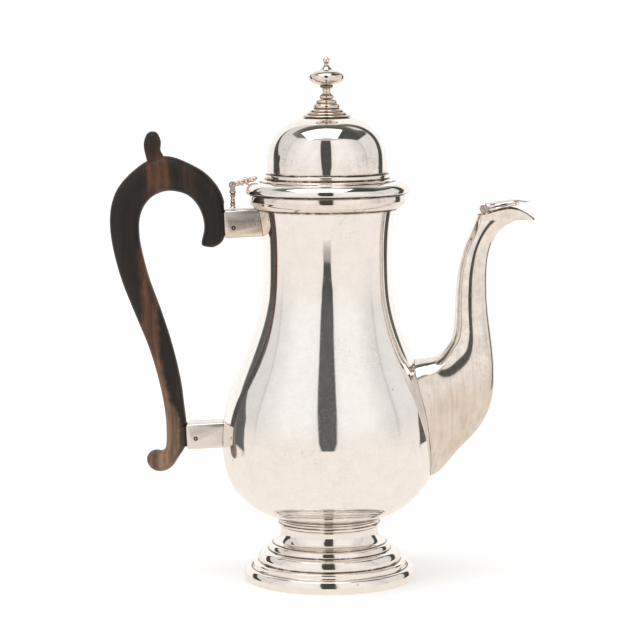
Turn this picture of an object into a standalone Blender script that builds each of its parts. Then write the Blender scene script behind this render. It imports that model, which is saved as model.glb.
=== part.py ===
"""Silver coffee pot: baluster body on a stepped foot, domed hinged lid,
scrolled wood handle in two silver sockets, swan-neck spout with a hinged flap.

Frame: metres, +Z up, +X from the handle to the spout, origin under the middle
of the whole object, on the surface that it stands on.  The profiles below are
in millimetres, as (radius, height) or (x, height) from the axis of the body.
"""
import math

import bmesh
import bpy
from mathutils import Matrix, Vector

MM = 0.001

# ---------------------------------------------------------------- driving sizes
TOTAL_HEIGHT = 280.0
HANDLE_REACH = 116.0      # body axis to the back of the handle
SPOUT_REACH = 110.5       # body axis to the tip of the spout
GAP = 0.3                 # between pieces that touch
SHEET = 1.2               # thickness of the silver sheet

BODY_TOP = 207.3
BODY_RADIUS = 57.25       # widest part of the belly
NECK_RADIUS = 37.3        # outside of the mouth
BAND_RADIUS = 42.1
BAND_TOP = 207.6
LID_SEAT = BAND_TOP + GAP
LID_RADIUS = 44.2
DOME_RADIUS = 32.2
DOME_BASE = 218.6
DOME_TOP = 249.4
DOME_WALL = 2.0           # straight part under the curve
DOME_BULGE = 2.5          # superellipse power: 2 is round
DOME_START = 2.3          # degrees from the top, leaving a hole for the finial's shaft
DOME_RINGS = 10
FOOT_RADIUS = 46.3

HINGE_X = -50.3           # lid hinge
HINGE_Z = 212.8
KNUCKLE_RADIUS = 2.0
HINGE_PIN_RADIUS = 0.7
KNUCKLE_HALF = 1.6        # half width of the middle knuckle
BARREL_HALF = 4.5
FORK_HALF = 1.6           # along X
CHEEK_HALF = 1.3
FORK_BOTTOM = 209.9
FORK_THICKNESS = 0.5
ARM_HALF_WIDTH = 1.5

FLAP_X = 83.4             # spout flap hinge
FLAP_Z = 199.1
FLAP_KNUCKLE = 2.4
FLAP_PIN_RADIUS = 0.6
FLAP_HALF = 2.4
LUG_HALF = 0.7
LUG_FOOT_HALF = 1.6       # along X
LUG_FOOT_Z = 197.1
PIN_PROUD = 0.2           # how far each pin stands out

SOCKET_TILT = math.radians(2.5)
SOCKET_HALF_WIDTH = 7.2
SOCKET_BEVEL = 2.0
UPPER_SOCKET = (-54.2, 184.6, 199.5)      # end x, bottom and top height
LOWER_SOCKET = (-75.8, 71.1, 85.1)
UPPER_ROOT = -20.0        # inside the body, before the socket is cut to fit it
LOWER_ROOT = -40.0
TENON_LENGTH = 12.0
PIN_RADIUS = 1.0
UPPER_PIN = (-49.8, 190.2)
LOWER_PIN = (-71.3, 77.2)

STRAINER_RADIUS = 1.5
STRAINER_ROWS = (66.0, 74.0, 82.0, 90.0, 98.0)
STRAINER_COLUMNS = (-6.0, 0.0, 6.0)

BORE_HALF = 8.0           # half lengths of the cutters
DRILL_HALF = 12.0
OVERRUN = 5.0             # how far a cutter or a tenon passes the face it goes through
SHOULDER_REACH = 20.0
SHOULDER_MARGIN = 4.0

AXIS_X = (HANDLE_REACH - SPOUT_REACH) / 2

BIG_STEPS = 36            # segments round the body, foot and lid
SMALL_STEPS = 20          # segments round the finial
PIN_STEPS = 12
DRILL_STEPS = 8
NUT_SIDES = 6
POST_STEPS = 16
HANDLE_STEPS = 14
THUMB_STEPS = 10
SPOUT_STEPS = 16
ARCH_STEPS = 8

# ---------------------------------------------------------------- profiles
BODY_PROFILE = [
    (NECK_RADIUS, BODY_TOP), (NECK_RADIUS, 200.2), (36.1, 194.6), (35.0, 186.0),
    (34.5, 170.0), (35.2, 154.0), (38.3, 138.6), (43.9, 123.4), (50.2, 108.6),
    (55.0, 94.4), (BODY_RADIUS, 78.0), (56.5, 64.0), (53.3, 53.4), (47.2, 45.0),
    (39.0, 38.4), (30.6, 34.6), (20.0, 31.6), (10.0, 30.3), (0.0, 29.9)]

BAND_PROFILE = [
    (NECK_RADIUS + GAP, BAND_TOP), (41.5, BAND_TOP), (BAND_RADIUS, 207.0),
    (BAND_RADIUS, 205.0), (41.2, 203.5), (39.9, 202.9), (39.9, 202.0),
    (39.2, 200.9), (38.1, 200.1), (NECK_RADIUS + GAP, 200.1)]

BAND_ENVELOPE = [
    (BAND_RADIUS + GAP, 210.0), (BAND_RADIUS + GAP, 204.6), (40.2, 202.4),
    (39.6, 200.6), (38.4, 199.7), (36.9, 196.8)]

COLLAR_PROFILE = [
    (25.4, 32.8), (30.2, 34.1), (29.6, 33.2), (28.6, 31.8), (28.1, 30.5), (25.4, 30.5)]

FOOT_PROFILE = [
    (25.4, 30.2), (27.7, 30.2), (26.6, 28.0), (26.3, 26.4), (26.9, 23.9),
    (28.2, 21.8), (30.0, 19.9), (32.1, 18.8), (32.6, 17.6), (32.3, 16.7),
    (33.6, 16.1), (36.0, 14.1), (38.4, 11.9), (39.2, 10.3), (41.0, 9.7),
    (43.1, 7.6), (43.9, 5.8), (43.9, 5.3), (42.7, 5.3), (41.8, 7.0), (39.9, 8.4),
    (38.0, 9.0), (36.4, 12.0), (31.6, 14.9), (30.9, 17.6), (28.6, 19.3),
    (26.3, 22.4), (25.1, 25.8)]

FOOT_RIM_PROFILE = [
    (43.2, 5.0), (45.0, 5.0), (46.0, 4.2), (FOOT_RADIUS, 2.6), (FOOT_RADIUS, 1.0),
    (45.9, 0.0), (43.9, 0.0), (43.2, 1.0)]

FLANGE_PROFILE = [
    (31.4, 218.3), (32.6, 218.3), (34.2, 217.7), (34.6, 216.7), (34.2, 215.8),
    (36.0, 215.5), (38.6, 214.5), (41.3, 212.9), (43.6, 211.6),
    (LID_RADIUS, 210.3), (43.9, 208.9), (42.8, LID_SEAT), (40.2, LID_SEAT),
    (39.8, 210.6), (37.0, 213.0), (34.9, 214.6), (31.4, 214.6)]

BEZEL_PROFILE = [
    (33.7, 214.3), (34.8, 214.3), (34.8, 203.4), (34.4, 202.6), (33.7, 202.6)]

FINIAL_BASE_PROFILE = [
    (2.4, 257.6), (4.2, 257.6), (5.4, 257.0), (5.6, 255.9), (6.6, 255.0),
    (7.2, 253.6), (6.9, 252.7), (8.8, 251.9), (8.9, 251.0), (10.7, 250.3),
    (10.7, 249.5), (13.2, 249.0), (13.3, 248.6), (2.4, 250.2)]

FINIAL_KNOB_PROFILE = [
    (0.0, TOTAL_HEIGHT), (1.4, 279.5), (1.95, 278.4), (1.4, 277.2), (1.2, 275.6),
    (1.5, 274.9), (3.1, 273.6), (5.2, 273.0), (8.4, 271.3), (9.75, 269.2),
    (8.6, 267.1), (5.4, 265.4), (3.2, 264.9), (3.6, 264.0), (2.1, 262.7),
    (2.0, 261.2), (3.4, 259.6), (3.9, 258.5), (3.9, 257.9), (2.0, 257.9),
    (2.0, 243.4), (0.0, 243.4)]

WASHER_PROFILE = [(2.3, 247.6), (5.2, 247.4), (5.2, 246.7), (2.3, 246.7)]

NUT_PROFILE = [(2.7, 246.4), (4.2, 246.4), (4.2, 243.9), (2.7, 243.9)]

POST_PROFILE = [
    (0.0, 209.6), (1.9, 209.6), (1.75, 208.2), (1.1, 207.2), (1.3, 206.7),
    (0.95, 206.1), (1.3, 204.2), (1.05, 202.9), (1.5, 202.4), (1.1, 201.8),
    (1.9, 200.2), (0.0, 200.2)]

# Stations of the handle, from its upper tip to its lower scroll: the outer
# point, the inner point and half the thickness across.
HANDLE_STATIONS = [
    ((-60.6, 179.5), (-65.4, 179.9), 2.8), ((-56.9, 181.6), (-67.2, 181.2), 5.4),
    ((-54.7, 185.4), (-66.6, 185.0), 6.6), ((-54.2, 192.0), (-65.7, 190.6), 6.8),
    ((-54.3, 200.2), (-67.4, 198.6), 6.8), ((-55.9, 207.2), (-71.0, 204.5), 6.8),
    ((-60.0, 214.3), (-75.4, 207.9), 6.8), ((-66.4, 220.4), (-80.0, 209.3), 6.8),
    ((-74.4, 224.8), (-84.0, 209.7), 6.8), ((-83.6, 228.1), (-87.8, 209.1), 6.8),
    ((-92.4, 227.3), (-91.4, 207.7), 6.8), ((-100.0, 223.0), (-94.4, 205.6), 6.8),
    ((-106.5, 217.4), (-97.2, 202.2), 6.8), ((-111.8, 210.8), (-99.2, 198.0), 6.8),
    ((-114.9, 202.8), (-100.2, 193.2), 6.8), ((-HANDLE_REACH, 193.4), (-100.3, 187.6), 6.8),
    ((-115.3, 184.2), (-99.7, 181.8), 6.8), ((-113.1, 172.8), (-97.6, 171.8), 6.7),
    ((-109.9, 161.4), (-94.6, 161.2), 6.6), ((-105.8, 150.4), (-90.9, 150.8), 6.5),
    ((-101.4, 139.4), (-87.0, 139.2), 6.3), ((-96.8, 127.8), (-83.5, 127.4), 6.1),
    ((-93.1, 116.0), (-80.7, 115.8), 5.9), ((-90.3, 104.5), (-78.6, 104.4), 5.8),
    ((-88.3, 93.6), (-77.4, 93.4), 5.8), ((-87.4, 84.0), (-76.2, 84.4), 6.0),
    ((-87.4, 76.0), (-75.8, 77.4), 6.2), ((-88.0, 71.4), (-77.8, 70.9), 6.2),
    ((-89.2, 70.1), (-80.6, 66.6), 6.0), ((-91.0, 70.0), (-84.4, 61.2), 5.8),
    ((-93.6, 70.2), (-90.0, 58.5), 5.6), ((-96.5, 68.8), (-95.2, 59.8), 4.6),
    ((-98.0, 66.3), (-97.6, 62.8), 2.0)]

HANDLE_SQUARE = 2.4       # superellipse power of the handle's section

THUMB_STATIONS = [
    ((-94.0, 221.6), (-86.6, 223.4), 4.6), ((-95.9, 226.4), (-87.0, 228.6), 4.6),
    ((-97.0, 231.0), (-88.4, 231.4), 4.7), ((-97.3, 235.0), (-88.1, 235.4), 4.7),
    ((-96.4, 238.7), (-89.2, 238.7), 3.8), ((-94.6, 240.5), (-91.2, 240.6), 2.0)]

# Stations of the spout, from inside the body to below its mouth: the upper
# point, the lower point and half the width across.
SPOUT_STATIONS = [
    ((38.0, 114.0), (44.0, 58.0), 17.0), ((46.5, 117.6), (54.6, 55.0), 16.6),
    ((57.3, 118.8), (68.2, 68.0), 14.6), ((64.0, 124.6), (80.4, 81.0), 12.4),
    ((67.5, 130.7), (86.8, 94.6), 10.6), ((68.7, 137.4), (88.5, 108.4), 9.4),
    ((69.1, 146.0), (87.4, 125.2), 8.4), ((69.5, 154.6), (85.0, 142.6), 7.4),
    ((70.4, 163.8), (84.0, 157.2), 6.8), ((72.2, 172.6), (84.6, 170.0), 6.5),
    ((74.8, 180.4), (87.2, 179.8), 6.4), ((78.0, 187.4), (92.6, 187.4), 6.4),
    ((80.2, 192.8), (100.6, 192.3), 6.2)]
MOUTH_BACK = (81.0, 195.6)
MOUTH_TIP = (SPOUT_REACH, 193.7)
MOUTH_HALF_WIDTH = 5.9
MOUTH_RISE = 5.0          # height of the mouth's side edges above the line between its ends
MOUTH_SKEW = 1.25         # moves the highest point towards the beak
MOUTH_TAPER = 0.55        # share of the width lost at the beak
MOUTH_SQUARE = 2.6        # superellipse power, as for the dome

# Stations of the flap, from its hinge to its tip: x, bottom, top, half width.
FLAP_STATIONS = [
    (83.4, 197.4, 201.4, 2.2), (86.4, 197.7, 202.0, 2.4), (88.6, 198.2, 202.6, 4.2),
    (92.0, 199.2, 203.3, 5.2), (97.0, 200.1, 204.0, 4.9), (101.0, 201.0, 203.9, 3.6),
    (105.4, 201.9, 203.2, 1.9), (108.3, 202.5, 202.7, 0.5)]

# Outline of the lid arm seen from the side.
ARM_OUTLINE = [
    (-49.2, 211.6), (-46.6, 212.0), (-44.2, 212.4), (-41.6, 213.3), (-38.9, 214.8),
    (-36.6, 215.7), (-37.8, 217.4), (-40.4, 218.0), (-42.2, 216.8), (-44.6, 217.0),
    (-46.2, 215.4), (-48.6, 214.8)]

SILVER = ((0.86, 0.83, 0.78, 1.0), 1.0, 0.16)
PIN_SILVER = ((0.70, 0.69, 0.66, 1.0), 1.0, 0.28)
WOOD = ((0.060, 0.036, 0.028, 1.0), 0.0, 0.38)


# ---------------------------------------------------------------- scene helpers
def clear_scene():
    for old in list(bpy.data.objects):
        bpy.data.objects.remove(old, do_unlink=True)


def new_collection(name):
    collection = bpy.data.collections.new(name)
    bpy.context.scene.collection.children.link(collection)
    return collection


def new_empty(name, x, z):
    empty = bpy.data.objects.new(name, None)
    empty.location = ((AXIS_X + x) * MM, 0.0, z * MM)
    parts.objects.link(empty)
    return empty


def new_material(name, finish):
    colour, metallic, roughness = finish
    material = bpy.data.materials.new(name)
    material.use_nodes = True
    shader = material.node_tree.nodes["Principled BSDF"]
    shader.inputs["Base Color"].default_value = colour
    shader.inputs["Metallic"].default_value = metallic
    shader.inputs["Roughness"].default_value = roughness
    return material


def add_part(name, mesh, finish, parent, middle_x=0.0):
    """One named part, modelled in millimetres from the body's axis, or from middle_x."""
    mesh.transform(Matrix.Diagonal((MM, MM, MM, 1.0)))
    mesh.shade_smooth()
    mesh.set_sharp_from_angle(angle=math.radians(35))
    part = bpy.data.objects.new(name, mesh)
    part.parent = parent
    part.location = Vector(((AXIS_X + middle_x) * MM, 0.0, 0.0)) - parent.location
    part.data.materials.append(new_material(name, finish))
    parts.objects.link(part)
    return part


def add_cutter(name, mesh):
    mesh.transform(Matrix.Diagonal((MM, MM, MM, 1.0)))
    cutter = bpy.data.objects.new(name, mesh)
    cutter.location.x = AXIS_X * MM
    cutter.hide_render = True
    cutter.display_type = 'WIRE'
    cutters.objects.link(cutter)
    return cutter


def add_boolean(part, other, operation):
    modifier = part.modifiers.new(operation.title() + " " + other.name, 'BOOLEAN')
    modifier.operation = operation
    modifier.solver = 'EXACT'
    modifier.object = other


# ---------------------------------------------------------------- mesh helpers
def profile_mesh(name, points, closed):
    """A profile in the XZ plane, for a Screw modifier."""
    mesh = bpy.data.meshes.new(name)
    shape = bmesh.new()
    corners = [shape.verts.new((radius, 0.0, height)) for radius, height in points]
    for first, second in zip(corners, corners[1:]):
        shape.edges.new((first, second))
    if closed:
        shape.edges.new((corners[-1], corners[0]))
    shape.to_mesh(mesh)
    shape.free()
    return mesh


def add_screw(part, steps):
    screw = part.modifiers.new("Turn", 'SCREW')
    screw.axis = 'Z'
    screw.steps = steps
    screw.render_steps = steps
    screw.use_merge_vertices = True
    screw.merge_threshold = 0.00001
    screw.use_smooth_shade = True


def turned_part(name, points, steps, finish, parent, closed=True, wall=0.0, middle_x=0.0):
    """A turned piece.  A wall makes a shell of an open profile."""
    part = add_part(name, profile_mesh(name, points, closed), finish, parent, middle_x)
    add_screw(part, steps)
    if wall:
        shell = part.modifiers.new("Wall", 'SOLIDIFY')
        shell.thickness = wall * MM
        shell.offset = -1.0
        shell.use_even_offset = True
    return part


def box_mesh(name, low, high):
    mesh = bpy.data.meshes.new(name)
    shape = bmesh.new()
    bmesh.ops.create_cube(shape, size=1.0)
    size = Vector(high) - Vector(low)
    middle = (Vector(high) + Vector(low)) / 2
    bmesh.ops.scale(shape, vec=size, verts=shape.verts)
    bmesh.ops.translate(shape, vec=middle, verts=shape.verts)
    shape.to_mesh(mesh)
    shape.free()
    return mesh


def rod_mesh(name, centre, radius, half_length, steps=PIN_STEPS, axis='Y'):
    """A plain rod across the pot, or along X."""
    mesh = bpy.data.meshes.new(name)
    shape = bmesh.new()
    bmesh.ops.create_cone(shape, cap_ends=True, segments=steps, radius1=radius,
                          radius2=radius, depth=2 * half_length)
    turn = Matrix.Rotation(math.pi / 2, 4, 'X' if axis == 'Y' else 'Y')
    bmesh.ops.transform(shape, matrix=Matrix.Translation(centre) @ turn, verts=shape.verts)
    shape.to_mesh(mesh)
    shape.free()
    return mesh


def tilt_mesh(mesh, pivot):
    """Turn a socket's solid about the Y line through its pivot, rising to the body."""
    centre = Matrix.Translation(pivot)
    mesh.transform(centre @ Matrix.Rotation(-SOCKET_TILT, 4, 'Y') @ centre.inverted())
    return mesh


def ring_of(first, second, half_width, count, square=2.0):
    """An oval ring from its two points in the XZ plane and its half width."""
    start = Vector((first[0], 0.0, first[1]))
    end = Vector((second[0], 0.0, second[1]))
    middle = (start + end) / 2
    reach = (start - end) / 2
    ring = []
    for index in range(count):
        angle = 2 * math.pi * index / count
        along = math.copysign(abs(math.cos(angle)) ** (2 / square), math.cos(angle))
        across = math.copysign(abs(math.sin(angle)) ** (2 / square), math.sin(angle))
        ring.append(middle + reach * along + Vector((0.0, half_width * across, 0.0)))
    return ring


def loft_mesh(name, rings, capped):
    """Skin rings of equal count, and cap the ends where the shape is solid."""
    mesh = bpy.data.meshes.new(name)
    shape = bmesh.new()
    rows = [[shape.verts.new(point) for point in ring] for ring in rings]
    count = len(rows[0])
    for low, high in zip(rows, rows[1:]):
        for index in range(count):
            after = (index + 1) % count
            shape.faces.new((low[index], low[after], high[after], high[index]))
    if capped:
        shape.faces.new(list(reversed(rows[0])))
        shape.faces.new(rows[-1])
    bmesh.ops.recalc_face_normals(shape, faces=shape.faces)
    shape.to_mesh(mesh)
    shape.free()
    return mesh


# ---------------------------------------------------------------- body and foot
def body_envelope(name):
    """The outside of the body and its band, one gap larger, as a cutter."""
    skin = [(radius + GAP, height) for radius, height in BODY_PROFILE[2:-1]]
    top = (0.0, BAND_ENVELOPE[0][1])
    bottom = (0.0, BODY_PROFILE[-1][1] - GAP)
    points = [top] + BAND_ENVELOPE + skin + [bottom]
    cutter = add_cutter(name, profile_mesh(name, points, False))
    add_screw(cutter, BIG_STEPS)
    return cutter


def make_body():
    body = turned_part("body_shell", BODY_PROFILE, BIG_STEPS, SILVER, pot_axis,
                       closed=False, wall=SHEET)
    holes = bmesh.new()
    for row in STRAINER_ROWS:
        for column in STRAINER_COLUMNS:
            centre = (BODY_RADIUS, column, row)
            drill = rod_mesh("drill", centre, STRAINER_RADIUS, DRILL_HALF, DRILL_STEPS, 'X')
            holes.from_mesh(drill)
            bpy.data.meshes.remove(drill)
    mesh = bpy.data.meshes.new("strainer_drills")
    holes.to_mesh(mesh)
    holes.free()
    add_boolean(body, add_cutter("strainer_drills", mesh), 'DIFFERENCE')
    turned_part("rim_band", BAND_PROFILE, BIG_STEPS, SILVER, pot_axis)
    turned_part("foot_collar", COLLAR_PROFILE, BIG_STEPS, SILVER, pot_axis)
    turned_part("foot", FOOT_PROFILE, BIG_STEPS, SILVER, pot_axis)
    turned_part("foot_rim", FOOT_RIM_PROFILE, BIG_STEPS, SILVER, pot_axis)


# ---------------------------------------------------------------- lid
def dome_profile():
    """A flat-topped dome: a superellipse on a short straight wall."""
    height = DOME_TOP - DOME_BASE - DOME_WALL
    points = []
    for index in range(DOME_RINGS):
        share = index / (DOME_RINGS - 1)
        angle = math.radians(DOME_START + (90.0 - DOME_START) * share)
        radius = DOME_RADIUS * math.sin(angle) ** (2 / DOME_BULGE)
        rise = height * max(math.cos(angle), 0.0) ** (2 / DOME_BULGE)
        points.append((radius, DOME_BASE + DOME_WALL + rise))
    points.append((DOME_RADIUS, DOME_BASE))
    return points


def make_lid():
    turned_part("lid_dome", dome_profile(), BIG_STEPS, SILVER, lid_hinge,
                closed=False, wall=SHEET)
    turned_part("lid_flange", FLANGE_PROFILE, BIG_STEPS, SILVER, lid_hinge)
    turned_part("lid_bezel", BEZEL_PROFILE, BIG_STEPS, SILVER, lid_hinge)
    turned_part("finial_base", FINIAL_BASE_PROFILE, SMALL_STEPS, SILVER, lid_hinge)
    turned_part("finial_knob", FINIAL_KNOB_PROFILE, SMALL_STEPS, SILVER, lid_hinge,
                closed=False)
    turned_part("finial_washer", WASHER_PROFILE, SMALL_STEPS, SILVER, lid_hinge)
    turned_part("finial_nut", NUT_PROFILE, NUT_SIDES, SILVER, lid_hinge)


def make_lid_hinge():
    turned_part("hinge_post", POST_PROFILE, POST_STEPS, SILVER, pot_axis, closed=False,
                middle_x=HINGE_X)
    base_top = FORK_BOTTOM + FORK_THICKNESS
    base = box_mesh("hinge_fork", (HINGE_X - FORK_HALF, -BARREL_HALF, FORK_BOTTOM),
                    (HINGE_X + FORK_HALF, BARREL_HALF, base_top))
    fork = add_part("hinge_fork", base, SILVER, pot_axis)
    inner = KNUCKLE_HALF + GAP
    middle = (BARREL_HALF + inner) / 2
    half = (BARREL_HALF - inner) / 2
    for side, name in ((-1, "near"), (1, "far")):
        low = (HINGE_X - CHEEK_HALF, side * middle - half, base_top - FORK_THICKNESS / 2)
        high = (HINGE_X + CHEEK_HALF, side * middle + half, HINGE_Z)
        cheek = add_cutter("fork_cheek_" + name, box_mesh("cheek", low, high))
        add_boolean(fork, cheek, 'UNION')
        eye = (HINGE_X, side * middle, HINGE_Z)
        knuckle = add_cutter("fork_knuckle_" + name, rod_mesh("knuckle", eye, KNUCKLE_RADIUS, half))
        add_boolean(fork, knuckle, 'UNION')
    centre = (HINGE_X, 0.0, HINGE_Z)
    bore = add_cutter("hinge_bore",
                      rod_mesh("hinge_bore", centre, HINGE_PIN_RADIUS + GAP, BORE_HALF))
    add_boolean(fork, bore, 'DIFFERENCE')
    pin = rod_mesh("hinge_pin", centre, HINGE_PIN_RADIUS, BARREL_HALF + PIN_PROUD)
    add_part("hinge_pin", pin, PIN_SILVER, pot_axis)

    sides = [[Vector((x, y, z)) for x, z in ARM_OUTLINE] for y in (-ARM_HALF_WIDTH, ARM_HALF_WIDTH)]
    arm = add_part("lid_arm", loft_mesh("lid_arm", sides, True), SILVER, lid_hinge)
    knuckle = add_cutter("arm_knuckle",
                         rod_mesh("arm_knuckle", centre, KNUCKLE_RADIUS, KNUCKLE_HALF))
    add_boolean(arm, knuckle, 'UNION')
    add_boolean(arm, bore, 'DIFFERENCE')


# ---------------------------------------------------------------- handle
def socket_box(size, end_x, body_x, shrink):
    """The solid of a socket, or of what fits inside it when shrunk."""
    start, bottom, top = size
    half = SOCKET_HALF_WIDTH - shrink
    mesh = box_mesh("socket", (end_x, -half, bottom + shrink), (body_x, half, top - shrink))
    return tilt_mesh(mesh, (start, 0.0, bottom))


def make_socket(name, size, body_x, pin, envelope):
    start = size[0]
    socket = add_part(name, socket_box(size, start, body_x, 0.0), SILVER, pot_axis)
    edges = socket.modifiers.new("Edges", 'BEVEL')
    edges.width = SOCKET_BEVEL * MM
    edges.segments = 2
    edges.limit_method = 'ANGLE'
    hollow = add_cutter(name + "_hollow",
                        socket_box(size, start - OVERRUN, start + TENON_LENGTH + GAP, SHEET))
    add_boolean(socket, hollow, 'DIFFERENCE')
    add_boolean(socket, envelope, 'DIFFERENCE')
    centre = (pin[0], 0.0, pin[1])
    hole = add_cutter(name + "_hole", rod_mesh("hole", centre, PIN_RADIUS + GAP, DRILL_HALF))
    add_boolean(socket, hole, 'DIFFERENCE')
    rod = rod_mesh("pin", centre, PIN_RADIUS, SOCKET_HALF_WIDTH + PIN_PROUD)
    add_part(name.replace("socket", "pin"), rod, PIN_SILVER, pot_axis)
    return hole


def make_handle(upper_hole, lower_hole):
    rings = [ring_of(outer, inner, half, HANDLE_STEPS, HANDLE_SQUARE)
             for outer, inner, half in HANDLE_STATIONS]
    handle = add_part("handle", loft_mesh("handle", rings, True), WOOD, pot_axis)
    rings = [ring_of(outer, inner, half, THUMB_STEPS, HANDLE_SQUARE)
             for outer, inner, half in THUMB_STATIONS]
    thumb = add_cutter("thumb_scroll", loft_mesh("thumb_scroll", rings, True))
    add_boolean(handle, thumb, 'UNION')
    for name, size, hole in (("upper", UPPER_SOCKET, upper_hole), ("lower", LOWER_SOCKET, lower_hole)):
        start = size[0]
        notch = socket_box(size, start - GAP, start + SHOULDER_REACH, -SHOULDER_MARGIN)
        add_boolean(handle, add_cutter(name + "_shoulder", notch), 'DIFFERENCE')
        tenon = add_cutter(name + "_tenon",
                           socket_box(size, start - OVERRUN, start + TENON_LENGTH, SHEET + GAP))
        add_boolean(handle, tenon, 'UNION')
        add_boolean(handle, hole, 'DIFFERENCE')


# ---------------------------------------------------------------- spout
def mouth_ring(count):
    """The mouth's edge: it rises at the sides and falls to the tip of the beak."""
    ring = ring_of(MOUTH_BACK, MOUTH_TIP, MOUTH_HALF_WIDTH, count, MOUTH_SQUARE)
    span = MOUTH_TIP[0] - MOUTH_BACK[0]
    for point in ring:
        share = (point.x - MOUTH_BACK[0]) / span
        point.z += MOUTH_RISE * math.sin(math.pi * share ** MOUTH_SKEW)
        point.y *= 1.0 - MOUTH_TAPER * share ** 3
    return ring


def make_spout(envelope):
    rings = [ring_of(upper, lower, half, SPOUT_STEPS) for upper, lower, half in SPOUT_STATIONS]
    rings.append(mouth_ring(SPOUT_STEPS))
    spout = add_part("spout", loft_mesh("spout", rings, False), SILVER, pot_axis)
    shell = spout.modifiers.new("Wall", 'SOLIDIFY')
    shell.thickness = SHEET * MM
    shell.offset = -1.0
    add_boolean(spout, envelope, 'DIFFERENCE')

    centre = (FLAP_X, 0.0, FLAP_Z)
    bore = add_cutter("flap_bore", rod_mesh("flap_bore", centre, FLAP_PIN_RADIUS + GAP, BORE_HALF))
    lug_middle = FLAP_HALF + GAP + LUG_HALF
    pin_half = lug_middle + LUG_HALF + PIN_PROUD
    add_part("spout_flap_pin", rod_mesh("spout_flap_pin", centre, FLAP_PIN_RADIUS, pin_half),
             PIN_SILVER, pot_axis)
    for side, name in ((-1, "near"), (1, "far")):
        middle = side * lug_middle
        eye = (FLAP_X, middle, FLAP_Z)
        lug = add_part("spout_lug_" + name, rod_mesh("lug", eye, FLAP_KNUCKLE - GAP, LUG_HALF),
                       SILVER, pot_axis)
        low = (FLAP_X - LUG_FOOT_HALF, middle - LUG_HALF, LUG_FOOT_Z)
        high = (FLAP_X + LUG_FOOT_HALF, middle + LUG_HALF, FLAP_Z)
        foot = add_cutter("lug_foot_" + name, box_mesh("lug_foot", low, high))
        add_boolean(lug, foot, 'UNION')
        add_boolean(lug, bore, 'DIFFERENCE')
    return bore


def make_flap(bore):
    rings = [flat_bottomed(*station) for station in FLAP_STATIONS]
    flap = add_part("spout_flap", loft_mesh("spout_flap", rings, True), SILVER, flap_hinge)
    centre = (FLAP_X, 0.0, FLAP_Z)
    knuckle = add_cutter("flap_knuckle", rod_mesh("flap_knuckle", centre, FLAP_KNUCKLE, FLAP_HALF))
    add_boolean(flap, knuckle, 'UNION')
    add_boolean(flap, bore, 'DIFFERENCE')


def flat_bottomed(x, bottom, top, half):
    """A half-round section: a flat underside and an arched top."""
    ring = []
    for index in range(ARCH_STEPS + 1):
        angle = math.pi * index / ARCH_STEPS
        ring.append(Vector((x, half * math.cos(angle), bottom + (top - bottom) * math.sin(angle))))
    return ring


clear_scene()
parts = new_collection("silver_coffee_pot")
cutters = new_collection("cutters")
pot_axis = new_empty("pot_axis", 0.0, 0.0)
lid_hinge = new_empty("lid_hinge", HINGE_X, HINGE_Z)
flap_hinge = new_empty("flap_hinge", FLAP_X, FLAP_Z)

envelope = body_envelope("body_envelope")
make_body()
make_lid()
make_lid_hinge()
upper_hole = make_socket("upper_socket", UPPER_SOCKET, UPPER_ROOT, UPPER_PIN, envelope)
lower_hole = make_socket("lower_socket", LOWER_SOCKET, LOWER_ROOT, LOWER_PIN, envelope)
make_handle(upper_hole, lower_hole)
flap_bore = make_spout(envelope)
make_flap(flap_bore)
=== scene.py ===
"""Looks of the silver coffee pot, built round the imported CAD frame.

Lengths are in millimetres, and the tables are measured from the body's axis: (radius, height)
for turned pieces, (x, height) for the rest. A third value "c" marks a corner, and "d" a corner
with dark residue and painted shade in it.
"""
import math

import bmesh
import bpy
import numpy as np
from mathutils import Matrix, Vector


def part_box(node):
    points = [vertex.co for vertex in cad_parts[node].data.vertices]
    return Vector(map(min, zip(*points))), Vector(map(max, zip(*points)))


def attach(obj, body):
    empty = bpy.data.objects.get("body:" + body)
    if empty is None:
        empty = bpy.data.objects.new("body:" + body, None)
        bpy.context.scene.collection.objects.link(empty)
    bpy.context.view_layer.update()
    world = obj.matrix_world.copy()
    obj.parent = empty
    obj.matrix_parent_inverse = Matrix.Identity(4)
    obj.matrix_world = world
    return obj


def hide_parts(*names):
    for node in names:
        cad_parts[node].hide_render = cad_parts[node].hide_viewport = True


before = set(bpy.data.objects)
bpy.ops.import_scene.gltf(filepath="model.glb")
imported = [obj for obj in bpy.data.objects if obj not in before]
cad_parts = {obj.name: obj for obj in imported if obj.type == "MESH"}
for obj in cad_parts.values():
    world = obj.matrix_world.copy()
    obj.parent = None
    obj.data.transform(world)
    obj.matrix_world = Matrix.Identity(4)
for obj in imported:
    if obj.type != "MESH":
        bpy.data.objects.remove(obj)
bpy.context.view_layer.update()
scene = bpy.context.scene

MM = 0.001
BODY_LOW, BODY_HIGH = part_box("body_shell")
AXIS_X = (BODY_LOW.x + BODY_HIGH.x) / 2 / MM

SHEET = 1.2               # thickness of the silver sheet
FILLET = 0.22             # rounding of the moulded edges
FILLET_SHARE = 0.35       # most of a short run that a fillet may take at each end
ROUND = 160               # segments round the big turned pieces
SMALL_ROUND = 72          # segments round the finial
CUTTER_ROUND = 96         # segments round the solid that other pieces are cut with
ON_AXIS = 1e-4            # a radius below this is a point on the axis
JOINT_DIRT_SHADE = 1.1          # how far residue and painted shade spread from a joint
CORNER_DIRT_SHADE = 0.6         # how far it spreads from a corner
EDGE_STEPS = 4            # steps across the edge of a sheet
SHARP_ANGLE = 40.0        # edges sharper than this, in degrees, stay crisp
CUT_GAP = 0.12            # gap left round the body where another piece is cut to it
PIN_GAP = 0.15            # gap round a pin in its hole
THROUGH, THROUGH_SMALL = 12.0, 8.0      # half length of a drill, for a large and a small piece

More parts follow.
